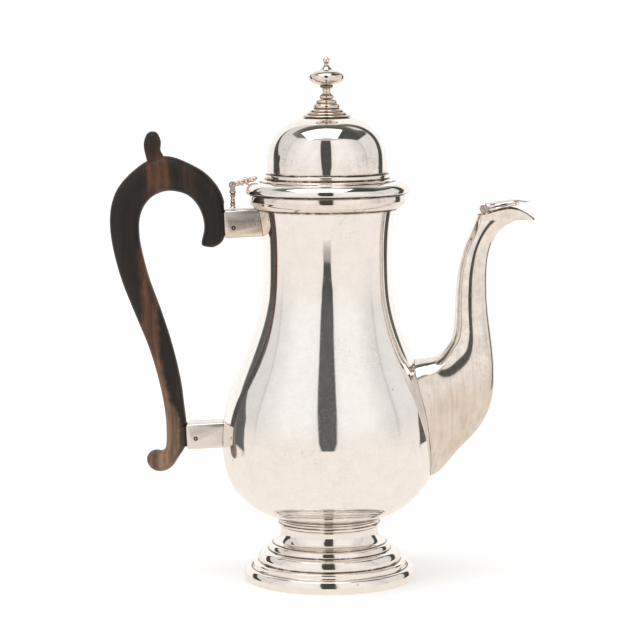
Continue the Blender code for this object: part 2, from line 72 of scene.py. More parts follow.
# ---- profiles
BODY = [
    (37.3, 207.3), (37.3, 200.3, "c"), (36.15, 194.6), (35.0, 186.0), (34.5, 170.0),
    (35.2, 154.0), (38.3, 138.6), (43.9, 123.4), (50.2, 108.6), (55.0, 94.4),
    (57.2, 78.0), (56.5, 64.0), (53.3, 53.4), (47.2, 45.0), (39.0, 38.4),
    (30.6, 34.6), (20.0, 31.6), (10.0, 30.3), (0.0, 29.9)]

BAND = [
    (37.6, 207.7, "c"), (41.2, 207.7, "d"), (41.5, 207.3), (41.85, 206.2), (42.05, 205.2),
    (42.1, 204.2, "c"), (41.6, 203.4, "c"), (41.3, 202.8), (40.6, 201.9), (39.7, 201.1),
    (38.9, 200.5, "c"), (38.4, 200.1, "d"), (37.6, 200.1, "c")]

BELLY = 57.2              # the spline may not swell past the widest point

# A simpler outline of the band and the foot's top, for cutting other pieces to the body.
CUTTER_TOP = [
    (0.0, 212.0), (42.4, 212.0), (42.4, 203.4), (41.4, 202.6), (40.5, 201.2), (39.2, 200.2),
    (38.4, 199.8)]
CUTTER_FOOT, CUTTER_SKIN = [(0.0, 33.0)], (34.0, 199.0)

COLLAR = [
    (25.4, 33.4, "c"), (29.9, 34.4, "d"), (29.5, 33.7), (28.7, 33.0), (28.0, 32.5, "c"),
    (25.4, 32.4, "c")]

FOOT = [
    (25.4, 32.3, "c"), (27.6, 32.3, "c"), (27.2, 31.6), (27.15, 30.9, "c"), (27.55, 30.7),
    (27.75, 30.15), (27.55, 29.6), (27.0, 29.35, "c"), (26.5, 28.2), (26.25, 26.7), (26.35, 25.2),
    (26.7, 23.7), (27.4, 22.3), (28.4, 21.1), (29.6, 20.4), (30.4, 20.2, "c"), (30.6, 19.6, "d"),
    (31.5, 19.45), (32.3, 18.8), (32.8, 17.9), (33.05, 17.1), (33.05, 16.3, "d"), (33.5, 16.2, "c"),
    (35.0, 16.0), (36.2, 15.6), (37.0, 14.9), (37.6, 13.9), (38.05, 12.9), (38.25, 12.0),
    (38.3, 11.0), (38.2, 10.1, "d"), (38.7, 9.95, "c"), (40.2, 9.75), (40.9, 9.3), (41.1, 8.5, "c"),
    (41.15, 7.6), (41.3, 7.0), (41.9, 6.5, "d"), (41.9, 5.8, "c"), (40.6, 5.6, "c"), (40.2, 7.5),
    (38.6, 8.6), (36.9, 10.0), (36.2, 12.6), (34.6, 14.3), (31.8, 15.0), (31.0, 17.4), (28.8, 18.6),
    (27.0, 20.6), (25.3, 24.0), (25.1, 28.0)]

FOOT_RIM = [
    (41.2, 6.3, "c"), (42.0, 6.5, "d"), (43.0, 6.9), (44.2, 6.8), (44.9, 6.35), (45.3, 5.8),
    (45.8, 4.9), (46.15, 3.8), (46.28, 2.7), (46.28, 1.5), (46.15, 0.4, "c"), (45.9, 0.0, "c"),
    (43.9, 0.0, "c"), (43.2, 0.8, "c"), (42.2, 5.0), (41.2, 5.6, "c")]

DOME_RADIUS, DOME_BASE, DOME_TOP = 32.2, 218.6, 249.4
DOME_WALL, DOME_BULGE = 2.0, 2.5      # its upright part, and how square its curve is
DOME_START, DOME_POINTS = 2.3, 110    # the angle where its hole ends
DOME_WALL_POINTS = 8

FLANGE = [
    (31.4, 218.4, "c"), (32.7, 218.4, "d"), (33.1, 218.0), (33.3, 217.3), (33.2, 216.6),
    (32.9, 216.0, "d"), (33.3, 215.7, "d"), (34.6, 215.45), (35.8, 215.1, "c"), (36.2, 214.3, "c"),
    (38.2, 214.05), (40.2, 213.65), (41.5, 213.15), (42.4, 212.45), (43.1, 211.7), (43.65, 210.9),
    (43.98, 210.1), (44.1, 209.4), (44.0, 208.7), (43.6, 208.2, "d"), (40.2, 208.1, "c"),
    (39.8, 210.6), (37.0, 213.0), (34.9, 214.6, "c"), (31.4, 214.6, "c")]

BEZEL = [
    (33.7, 214.3, "c"), (34.8, 214.3, "c"), (34.8, 203.4, "c"), (34.3, 202.6, "c"),
    (33.7, 202.6, "c")]

FINIAL_BASE = [
    (2.4, 257.7, "c"), (4.2, 257.7, "c"), (5.3, 257.1), (5.6, 256.2), (5.3, 255.7, "d"),
    (6.2, 255.4), (7.1, 254.4), (7.1, 253.3), (6.6, 252.8, "d"), (8.4, 252.3), (8.9, 251.7),
    (8.6, 251.1, "d"), (10.3, 250.7), (10.7, 250.1), (10.4, 249.6, "d"), (12.7, 249.3),
    (13.3, 248.9), (13.2, 248.6, "c"), (2.4, 250.2, "c")]

FINIAL_KNOB = [
    (0.0, 280.0), (0.9, 279.8), (1.65, 279.2), (1.95, 278.3), (1.65, 277.4), (1.25, 276.9, "d"),
    (1.2, 275.9), (1.5, 275.3, "d"), (2.3, 274.6), (3.1, 273.8, "c"), (3.4, 273.5), (5.6, 272.9),
    (8.2, 271.7), (9.5, 270.3), (9.75, 269.2), (9.3, 268.0), (7.6, 266.6), (5.2, 265.6),
    (3.2, 265.1, "d"), (3.5, 264.7), (3.5, 264.2, "d"), (2.5, 263.3), (2.1, 262.2),
    (2.3, 261.0), (3.2, 260.0, "d"), (3.7, 259.6), (3.9, 258.9), (3.6, 258.2),
    (3.2, 257.95, "d"), (2.0, 257.9, "c"), (2.0, 243.4, "c"), (0.0, 243.4)]

HINGE_X, HINGE_Z = -50.3, 212.8
POST = [
    (0.0, 209.6), (1.5, 209.6, "c"), (1.9, 209.2), (1.75, 208.4), (1.25, 208.0, "c"),
    (1.15, 207.4, "c"), (1.5, 207.1), (1.5, 206.7), (1.1, 206.4, "c"), (1.0, 205.6),
    (1.25, 204.4), (1.25, 203.6), (1.0, 203.0, "c"), (1.5, 202.7), (1.5, 202.2, "c"),
    (1.1, 201.7), (1.35, 200.9), (1.9, 200.3, "c"), (0.0, 200.2)]

# Handle: x and height outside, x and height inside, and half thickness, from its upper tip to its
# lower scroll; then its thumb piece.
HANDLE_ROUND, HANDLE_SQUARE, HANDLE_STATIONS = 48, 2.3, 260
HANDLE = [
    (-60.6, 179.5, -65.4, 179.9, 2.8), (-56.9, 181.6, -67.2, 181.2, 5.4),
    (-54.7, 185.4, -66.6, 185.0, 6.6), (-54.2, 192.0, -65.7, 190.6, 6.8),
    (-54.3, 200.2, -67.4, 198.6, 6.8), (-55.9, 207.2, -71.0, 204.5, 6.8),
    (-60.0, 214.3, -75.4, 207.9, 6.8), (-66.4, 220.4, -80.0, 209.3, 6.8),
    (-74.4, 224.8, -84.0, 209.7, 6.8), (-83.6, 228.1, -87.8, 209.1, 6.8),
    (-92.4, 227.3, -91.4, 207.7, 6.8), (-100.0, 223.0, -94.4, 205.6, 6.8),
    (-106.5, 217.4, -97.2, 202.2, 6.8), (-111.8, 210.8, -99.2, 198.0, 6.8),
    (-114.9, 202.8, -100.2, 193.2, 6.8), (-115.95, 193.4, -100.3, 187.6, 6.8),
    (-115.3, 184.2, -99.7, 181.8, 6.8), (-113.1, 172.8, -97.6, 171.8, 6.7),
    (-109.9, 161.4, -94.6, 161.2, 6.6), (-105.8, 150.4, -90.9, 150.8, 6.5),
    (-101.4, 139.4, -87.0, 139.2, 6.3), (-96.8, 127.8, -83.5, 127.4, 6.1),
    (-93.1, 116.0, -80.7, 115.8, 5.9), (-90.3, 104.5, -78.6, 104.4, 5.8),
    (-88.3, 93.6, -77.4, 93.4, 5.8), (-87.4, 84.0, -76.2, 84.4, 6.0),
    (-87.4, 76.0, -75.8, 77.4, 6.2), (-88.0, 71.4, -77.8, 70.9, 6.2),
    (-89.2, 70.1, -80.6, 66.6, 6.0), (-91.0, 70.0, -84.4, 61.2, 5.8),
    (-93.6, 70.2, -90.0, 58.5, 5.6), (-96.5, 68.8, -95.2, 59.8, 4.6),
    (-98.0, 66.3, -97.6, 62.8, 2.0)]

THUMB_ROUND, THUMB_SQUARE, THUMB_STATIONS = 40, 2.2, 40
THUMB = [
    (-94.0, 221.6, -86.6, 223.4, 4.6), (-95.9, 226.4, -87.0, 228.6, 4.6),
    (-97.0, 231.0, -88.4, 231.4, 4.7), (-97.3, 235.0, -88.1, 235.4, 4.7),
    (-96.5, 238.3, -88.9, 238.5, 4.1), (-95.3, 240.4, -90.1, 240.6, 2.8),
    (-93.7, 241.3, -91.9, 241.4, 1.0)]

# Spout: x and height above, x and height below, and half width, from the body to its mouth.
SPOUT = [
    (38.0, 113.6, 44.0, 59.0, 26.0), (46.5, 117.2, 54.4, 56.4, 20.8),
    (57.3, 118.6, 67.6, 68.8, 15.6), (64.0, 124.5, 79.7, 81.8, 12.3),
    (67.5, 130.7, 86.1, 94.9, 10.4), (68.7, 137.4, 87.9, 108.5, 9.3),
    (69.1, 146.0, 87.0, 125.2, 8.4), (69.5, 154.6, 84.8, 142.6, 7.4),
    (70.4, 163.8, 83.9, 157.2, 6.8), (72.2, 172.6, 84.3, 170.2, 6.4),
    (74.8, 180.4, 86.6, 180.6, 6.2), (78.0, 187.4, 91.8, 188.7, 6.0),
    (80.2, 192.8, 100.2, 194.0, 6.0)]
SPOUT_SQUARE, SPOUT_EGG, NECK_LENGTH = 2.2, 0.10, 16.0    # its section; less egg when longer
SPOUT_ROUND, SPOUT_STATIONS, MOUTH_STEPS = 96, 110, 16
MOUTH_BACK, MOUTH_TIP = (81.0, 195.6), (110.4, 193.7)
MOUTH_HALF_WIDTH, MOUTH_RISE, MOUTH_SKEW = 7.0, 5.0, 1.25
MOUTH_TAPER, MOUTH_SQUARE, MOUTH_EASE = 0.55, 2.6, 0.35

FLAP_X, FLAP_Z, FLAP_KNUCKLE, FLAP_HALF = 83.4, 199.1, 2.4, 2.4
FLAP_PIN, FLAP_STATIONS, FLAP_THIN, FLAP_NARROW = 0.9, 70, 0.12, 0.15
# Flap: x, bottom, top and half width, from its hinge to its tip.
FLAP = [
    (82.6, 197.6, 201.2, 2.2), (84.6, 197.5, 201.9, 2.4), (86.6, 197.8, 202.2, 3.2),
    (89.0, 198.3, 202.8, 4.5), (92.5, 199.1, 203.4, 5.2), (97.0, 200.1, 203.95, 4.9),
    (99.8, 200.7, 204.05, 4.2), (101.2, 201.2, 203.95, 3.5), (102.2, 202.2, 203.8, 2.9),
    (104.6, 202.2, 203.4, 2.1), (106.8, 202.3, 202.95, 1.1), (108.2, 202.4, 202.6, 0.3)]

# Flap section: share of its half width and of its height, from its lower edge to its crown.
FLAP_SECTION = [
    (0.97, 0.0), (1.0, 0.06), (1.0, 0.22), (0.95, 0.28), (0.91, 0.34), (0.95, 0.41), (1.0, 0.50),
    (0.97, 0.62), (0.88, 0.74), (0.74, 0.84), (0.56, 0.92), (0.3, 0.98), (0.0, 1.0)]

# Lid arm: share of the way along it, half height and half width.
ARM_START, ARM_END = (-48.5, 213.3), (-37.0, 216.4)
ARM = [
    (0.0, 1.5, 1.4), (0.12, 1.6, 1.5), (0.16, 1.0, 0.95), (0.2, 1.9, 1.75), (0.3, 2.05, 1.9),
    (0.34, 1.2, 1.15), (0.38, 1.2, 1.15), (0.42, 2.15, 2.0), (0.52, 2.25, 2.1), (0.57, 1.3, 1.35),
    (0.62, 1.4, 1.9), (0.8, 1.5, 2.6), (0.93, 1.15, 2.1), (1.0, 0.3, 0.8)]

ARM_ROUND, ARM_KNUCKLE = 24, (2.0, 1.6)    # its segments; its knuckle's radius and half length

# Sockets: x of the open end, bottom and top there; x inside the body; x and height of the pin.
SOCKET_TILT = math.radians(2.5)
SOCKET_HALF_WIDTH, SOCKET_BEVEL, SOCKET_SHARP = 7.2, 1.7, 35.0
UPPER_SOCKET, UPPER_ROOT, UPPER_PIN = (-54.2, 184.6, 199.5), -20.0, (-49.8, 190.2)
LOWER_SOCKET, LOWER_ROOT, LOWER_PIN = (-75.8, 71.1, 85.1), -40.0, (-71.3, 77.2)
SOCKET_LIP = ((0.0, 0.94), (0.35, 0.985), (0.8, 1.0))    # depth from its end, and its size there
TENON, TENON_GAP = 12.0, 0.3      # the wood's length inside a socket, and the gap round it
HOLLOW_BEVEL, TENON_BEVEL = 0.8, 0.6
PAST_END = 5.0            # how far a solid runs on past a socket's end
# Where the grip stops: gap before the socket, then the length, margin and bevel of what is cut.
SEAT_GAP, SEAT_LENGTH, SEAT_MARGIN, SEAT_BEVEL = 0.1, 20.0, 4.0, 0.5
PIN_RADIUS = 1.0

STRAINER_X, STRAINER_RADIUS, STRAINER_ROUND = 57.0, 1.5, 16
STRAINER_ROWS = (66.0, 74.0, 82.0, 90.0, 98.0)
STRAINER_COLUMNS = (-6.0, 0.0, 6.0)

# Studio, in metres and degrees.
FLOOR = (0.46, -0.72, 1.6)        # half width, front and back edges
CAMERA_PLACE = (-0.00562, -1.360, 0.301)
CAMERA_PITCH, CAMERA_ROLL, CAMERA_LENS = 6.7, -0.41, 144.96
TABLE_EDGE = -7.0                 # height in degrees at which the table ends, seen from the pot
PAPER_LIT = (1.0, 0.935, 0.880)


# ---- curves
def spline(points, samples):
    """Natural cubic spline through points, sampled evenly along their chords."""
    points = np.asarray(points, float)
    chord = np.linalg.norm(np.diff(points, axis=0), axis=1)
    knots = np.concatenate([[0.0], np.cumsum(chord)])
    size = len(knots)
    matrix = np.zeros((size, size))
    right = np.zeros((size, points.shape[1]))
    matrix[0, 0] = matrix[-1, -1] = 1.0
    for i in range(1, size - 1):
        matrix[i, i - 1] = chord[i - 1]
        matrix[i, i] = 2 * (chord[i - 1] + chord[i])
        matrix[i, i + 1] = chord[i]
        after = (points[i + 1] - points[i]) / chord[i]
        before = (points[i] - points[i - 1]) / chord[i - 1]
        right[i] = 6 * (after - before)
    bend = np.linalg.solve(matrix, right)
    where = np.linspace(0.0, knots[-1], samples)
    span = np.clip(np.searchsorted(knots, where, side="right") - 1, 0, size - 2)
    width = chord[span][:, None]
    a = ((knots[span + 1] - where)[:, None]) / width
    b = ((where - knots[span])[:, None]) / width
    return (a * points[span] + b * points[span + 1]
            + ((a ** 3 - a) * bend[span] + (b ** 3 - b) * bend[span + 1]) * width ** 2 / 6)


def run_length(run):
    return np.linalg.norm(np.diff(run, axis=0), axis=1).sum()


def runs_between_corners(keys, closed, step):
    """The runs between a profile's corners as splines, and the residue and painted shade at the end
    of each.
    """
    points = [tuple(key[:2]) for key in keys]
    corner = [len(key) > 2 for key in keys]
    dirt_shade = [key[-1] == "d" for key in keys]
    if closed:
        turn = corner.index(True)
        points, corner, dirt_shade = (row[turn:] + row[:turn] + [row[turn]]
                                 for row in (points, corner, dirt_shade))
    else:
        corner[0] = corner[-1] = True
    runs, residue_shade, start = [], [], 0
    for index in range(1, len(points)):
        if not corner[index]:
            continue
        run = np.array(points[start:index + 1], float)
        if len(run) > 2:
            run = spline(run, max(4 * (len(run) - 1) + 1, int(run_length(run) / step) + 2))
        runs.append(run)
        residue_shade.append(1.0 if dirt_shade[index] else 0.0)
        start = index
    return runs, residue_shade


def fine_profile(keys, closed, step):
    """Splines between the corners of a profile, and a small fillet at each corner.

    Gives the points and, for each, how deep it sits in a crevice (0 to 1), which sets its residue
    and painted shade."""
    runs, residue_shade = runs_between_corners(keys, closed, step)
    fine, crevice = [], []
    for index, run in enumerate(runs):
        has_start = closed or index > 0
        has_end = closed or index < len(runs) - 1
        cut = min(FILLET, run_length(run) * FILLET_SHARE)
        straight = shortened(run, cut if has_start else 0.0, cut if has_end else 0.0)
        fine.extend(straight)
        crevice.extend([0.0] * len(straight))
        if not has_end:
            continue
        after = runs[(index + 1) % len(runs)]
        first, middle = straight[-1], run[-1]
        last = shortened(after, min(FILLET, run_length(after) * FILLET_SHARE), 0.0)[0]
        into, out = middle - first, last - middle
        hollow = into[0] * out[1] - into[1] * out[0]
        hollow /= max(np.linalg.norm(into) * np.linalg.norm(out), 1e-9)
        for share in (0.25, 0.5, 0.75):
            fine.append((1 - share) ** 2 * first + 2 * share * (1 - share) * middle
                        + share ** 2 * last)
            crevice.append(max(0.0, hollow, residue_shade[index]))
    fine = np.array(fine)
    return fine, spread(fine, np.array(crevice))


def shortened(run, start_cut, end_cut):
    """The same run of points with a length taken off each end."""
    lengths = np.linalg.norm(np.diff(run, axis=0), axis=1)
    knots = np.concatenate([[0.0], np.cumsum(lengths)])
    low, high = start_cut, knots[-1] - end_cut
    inside = [value for value in knots if low + 1e-6 < value < high - 1e-6]
    where = [low] + inside + [high]
    return [np.array([np.interp(value, knots, run[:, 0]), np.interp(value, knots, run[:, 1])])
            for value in where]


def spread(points, values):
    """Let the residue and painted shade of each crevice darken the points near it, fading with
    distance.
    """
    result = values.copy()
    for index in np.nonzero(values > 0.2)[0]:
        distance = np.linalg.norm(points - points[index], axis=1)
        result = np.maximum(result, values[index] * np.clip(1 - distance / CORNER_DIRT_SHADE, 0, 1))
    return result


def inset(points, wall):
    """An open profile moved inwards by the wall's thickness."""
    tangent = np.gradient(points, axis=0)
    tangent /= np.linalg.norm(tangent, axis=1)[:, None]
    normal = np.stack([-tangent[:, 1], tangent[:, 0]], axis=1)
    inner = points - normal * wall
    inner[:, 0] = np.maximum(inner[:, 0], 0.0)
    return inner


def dome_profile():
    """The dome's outer profile, a superellipse, from the hole at its top to its lower edge."""
    spring = DOME_BASE + DOME_WALL
    angles = np.radians(DOME_START + (90 - DOME_START) * np.linspace(0, 1, DOME_POINTS))
    across = DOME_RADIUS * np.sin(angles) ** (2 / DOME_BULGE)
    height = DOME_TOP - DOME_BASE - DOME_WALL
    rise = height * np.maximum(np.cos(angles), 0.0) ** (2 / DOME_BULGE)
    curve = np.stack([across, spring + rise], axis=1)
    wall = np.linspace(spring, DOME_BASE, DOME_WALL_POINTS + 1)[1:]
    return np.concatenate([curve, np.stack([np.full(len(wall), DOME_RADIUS), wall], axis=1)])


# ---- pieces
def new_object(name, data):
    thing = bpy.data.objects.new(name, data)
    scene.collection.objects.link(thing)
    return thing


def mesh_object(name, shape, middle_x=0.0):
    """An object from a bmesh in millimetres about the body's axis."""
    mesh = bpy.data.meshes.new(name)
    bmesh.ops.recalc_face_normals(shape, faces=shape.faces)
    shape.to_mesh(mesh)
    shape.free()
    mesh.transform(Matrix.Translation(((AXIS_X + middle_x) * MM, 0.0, 0.0))
                   @ Matrix.Diagonal((MM, MM, MM, 1.0)))
    return new_object(name, mesh)


def smooth(piece, angle=SHARP_ANGLE):
    piece.data.shade_smooth()
    piece.data.set_sharp_from_angle(angle=math.radians(angle))


def finish_piece(name, shape, material, body, node, middle_x=0.0):
    """Turn a bmesh into a piece that rides on a body and stands for a CAD node."""
    piece = mesh_object(name, shape, middle_x)
    smooth(piece)
    piece.data.materials.append(material)
    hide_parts(node)
    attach(piece, body)
    return piece


def circle(count):
    """Angles of a full turn."""
    return [2 * math.pi * index / count for index in range(count)]


def upright(point):
    """A point of the XZ plane in space."""
    return np.array([point[0], 0.0, point[1]])


def lathe(points, closed, segments, crevice=None):
    """Turn a profile about the vertical axis."""
    shape = bmesh.new()
    layer = shape.verts.layers.float.new("crevice")
    columns = []
    for number, (radius, height) in enumerate(points):
        if radius < ON_AXIS:
            ring = [shape.verts.new((0.0, 0.0, height))]
        else:
            ring = [shape.verts.new((radius * math.cos(angle), radius * math.sin(angle), height))
                    for angle in circle(segments)]
        for vert in ring:
            vert[layer] = 0.0 if crevice is None else float(crevice[number])
        columns.append(ring * (segments // len(ring)))
    pairs = list(zip(columns, columns[1:]))
    if closed:
        pairs.append((columns[-1], columns[0]))
    for first, second in pairs:
        for index in range(segments):
            after = (index + 1) % segments
            corners = dict.fromkeys((first[index], first[after], second[after], second[index]))
            if len(corners) > 2:
                shape.faces.new(list(corners))
    return shape


def turned(name, keys, material, body, node, closed=True, segments=ROUND, middle_x=0.0, step=0.7):
    """A turned piece from its profile; closed when the profile stays clear of the axis."""
    points, crevice = fine_profile(keys, closed, step)
    shape = lathe(points, closed, segments, crevice)
    return finish_piece(name, shape, material, body, node, middle_x=middle_x)


def edge_points(first, last):
    """Points across a sheet's edge, closer together at its corners."""
    first, last = np.array(first), np.array(last)
    middle = (first + last) / 2
    return [tuple(middle + (first - middle) * math.cos(math.pi * step / EDGE_STEPS))
            for step in range(1, EDGE_STEPS)]


def shell(name, outer, material, body, node, dirt_shade_heights):
    """A turned sheet from its outer profile, with residue and painted shade at some heights."""
    inner = inset(outer, SHEET)[::-1]
    points = [tuple(point) for point in outer]
    crevice = [max(max(0.0, 1 - abs(height - dirt_shade) / JOINT_DIRT_SHADE) for dirt_shade in dirt_shade_heights)
               for _, height in points]
    if outer[-1][0] > 0.01:
        points += edge_points(outer[-1], inner[0])
    points += [tuple(point) for point in inner]
    points += edge_points(inner[-1], outer[0])
    crevice += [0.0] * (len(points) - len(crevice))
    return finish_piece(name, lathe(points, True, ROUND, crevice), material, body, node)


def ring_between(first, second, half_width, count, square, egg=0.0):
    """An oval ring from its two points in the XZ plane and its half width."""
    start, end = upright(first), upright(second)
    middle, reach = (start + end) / 2, (start - end) / 2
    ring = []
    for angle in circle(count):
        cosine, sine = math.cos(angle), math.sin(angle)
        along = math.copysign(abs(cosine) ** (2 / square), cosine) + egg * sine * sine
        across = math.copysign(abs(sine) ** (2 / square), sine)
        ring.append(middle + reach * along + np.array([0.0, half_width * across, 0.0]))
    return ring


def smooth_stations(stations, count):
    """More stations on splines through these: outer point, inner point and half width."""
    return [(row[:2], row[2:4], row[4]) for row in spline(stations, count)]


def loft(rings, capped, dirt_shade_rings=0):
    """A skin through rings of points; the last rings can carry residue and painted shade."""
    shape = bmesh.new()
    layer = shape.verts.layers.float.new("crevice")
    rows = [[shape.verts.new(point) for point in ring] for ring in rings]
    for row in rows[len(rows) - dirt_shade_rings:]:
        for vert in row:
            vert[layer] = 1.0
    count = len(rows[0])
    for low, high in zip(rows, rows[1:]):
        for index in range(count):
            after = (index + 1) % count
            shape.faces.new((low[index], low[after], high[after], high[index]))
    if capped:
        for row in (rows[0], rows[-1]):
            centre = shape.verts.new(sum((v.co for v in row), Vector()) / count)
            for index in range(count):
                shape.faces.new((row[index], row[(index + 1) % count], centre))
    return shape


def boolean(piece, shape, operation):
    """Cut or join a piece with another solid and keep only the result."""
    solid = mesh_object("tool", shape)
    modifier = piece.modifiers.new("Boolean", 'BOOLEAN')
    modifier.operation = operation
    modifier.solver = 'EXACT'
    modifier.object = solid
    graph = bpy.context.evaluated_depsgraph_get()
    mesh = bpy.data.meshes.new_from_object(piece.evaluated_get(graph), depsgraph=graph)
    piece.modifiers.clear()
    piece.data = mesh
    bpy.data.objects.remove(solid, do_unlink=True)


def mirrored(half):
    """A profile across the axis, from its upper half."""
    return half + [(radius, -height, *rest) for radius, height, *rest in half[::-1]]


def moved(shape, matrix):
    bmesh.ops.transform(shape, matrix=matrix, verts=shape.verts)
    return shape


def rod(centre, radius, half_length, count=32, axis='Y', bevel=0.0):
    """A solid rod, across the pot or along X, with bevelled ends if asked."""
    half = [(0.0, half_length), (radius - bevel, half_length)]
    if bevel:
        half.append((radius, half_length - bevel))
    turn = Matrix.Rotation(math.pi / 2, 4, 'X' if axis == 'Y' else 'Y')
    shape = moved(lathe(mirrored(half), False, count), Matrix.Translation(centre) @ turn)
    bmesh.ops.recalc_face_normals(shape, faces=shape.faces)
    return shape


def join(target, other):
    """Add another bmesh to a bmesh."""
    mesh = bpy.data.meshes.new("join")
    other.to_mesh(mesh)
    other.free()
    target.from_mesh(mesh)
    bpy.data.meshes.remove(mesh)


def body_cutter():
    """The outside of the body and its band, a little larger, as a solid to cut with."""
    outer, _ = fine_profile(BODY, False, 1.5)
    low, high = CUTTER_SKIN
    skin = [(radius + CUT_GAP, height) for radius, height in outer if low < height < high]
    return lathe(CUTTER_TOP + skin + CUTTER_FOOT, False, CUTTER_ROUND)


# ---- materials
class Nodes:
    """Short names for building a node tree. A value is a number, a tuple or a node's output."""

    def __init__(self, tree):
        self.tree = tree

    def fill(self, node, inputs):
        """Set or link a node's inputs."""
        for key, value in inputs.items():
            entry = node.inputs[key]
            if isinstance(value, (int, float)):
                entry.default_value = value
            elif isinstance(value, tuple):
                entry.default_value = (*value, 1.0)[:len(entry.default_value)]
            elif value is not None:
                self.tree.links.new(value, entry)

    def add(self, kind, inputs=None, **settings):
        node = self.tree.nodes.new("ShaderNode" + kind)
        for key, value in settings.items():
            setattr(node, key, value)
        self.fill(node, inputs or {})
        return node

    def math(self, operation, a, b=None, clamp=False):
        node = self.add('Math', {0: a, 1: b}, operation=operation, use_clamp=clamp)
        return node.outputs[0]

    def times(self, a, b, clamp=False):
        return self.math('MULTIPLY', a, b, clamp)

    def plus(self, a, b):
        return self.math('ADD', a, b)

    def minus(self, a, b):
        return self.math('SUBTRACT', a, b)

    def larger(self, a, b):
        return self.math('MAXIMUM', a, b)

    def ramp(self, value, low, high, out_low=0.0, out_high=1.0):
        """A smooth step from one value to another between two limits."""
        limits = {'Value': value, 'From Min': low, 'From Max': high, 'To Min': out_low,
                  'To Max': out_high}
        node = self.add('MapRange', limits, clamp=True, interpolation_type='SMOOTHSTEP')
        return node.outputs['Result']

    def fade(self, value, low, high):
        """1 up to the low limit, and 0 from the high one."""
        return self.ramp(value, low, high, 1.0, 0.0)

    def mix(self, factor, a, b):
        node = self.add('Mix', {0: factor, 6: a, 7: b}, data_type='RGBA')
        return node.outputs[2]

    def noise(self, vector, scale, detail, roughness=0.5, stretch=None, turn=None):
        if stretch is not None:
            mapping = {'Vector': vector, 'Rotation': turn, 'Scale': stretch}
            vector = self.add('Mapping', mapping).outputs[0]
        look = {'Vector': vector, 'Scale': scale, 'Detail': detail, 'Roughness': roughness}
        return self.add('TexNoise', look).outputs['Fac']

    def scaled(self, colour, factor):
        node = self.add('VectorMath', {0: colour, 3: factor}, operation='SCALE')
        return node.outputs[0]

    def bump(self, height, strength, distance):
        relief = {'Height': height, 'Strength': strength, 'Distance': distance}
        return self.add('Bump', relief).outputs[0]

    def split(self, vector):
        return self.add('SeparateXYZ', {0: vector}).outputs

    def choose(self, path_name, first, second):
        """One shader, or another for rays of one kind."""
        path = self.add('LightPath').outputs[path_name]
        return self.add('MixShader', {0: path, 1: first, 2: second}).outputs[0]


def new_material(name):
    material = bpy.data.materials.new(name)
    material.use_nodes = True
    return material, Nodes(material.node_tree), material.node_tree.nodes["Principled BSDF"]


# residue and painted shade in crevices and joints: the colour at its fringe, and in its core
RESIDUE_SHADE_EDGE, RESIDUE_SHADE = (0.46, 0.34, 0.24), (0.075, 0.050, 0.035)
GRAIN, SCUFF, SPOT = (0.44, 0.37, 0.30), (0.46, 0.39, 0.33), (0.42, 0.36, 0.30)
WARM, POLISH_LINE = (0.90, 0.83, 0.74), (0.40, 0.32, 0.25)
# Fine scratches in three directions: turn, stretch and scale.
SCRATCHES = (
    (0.3, (1.0, 1.0, 26.0), 70.0), (1.1, (30.0, 1.0, 1.0), 60.0), (2.2, (1.0, 24.0, 1.6), 66.0))


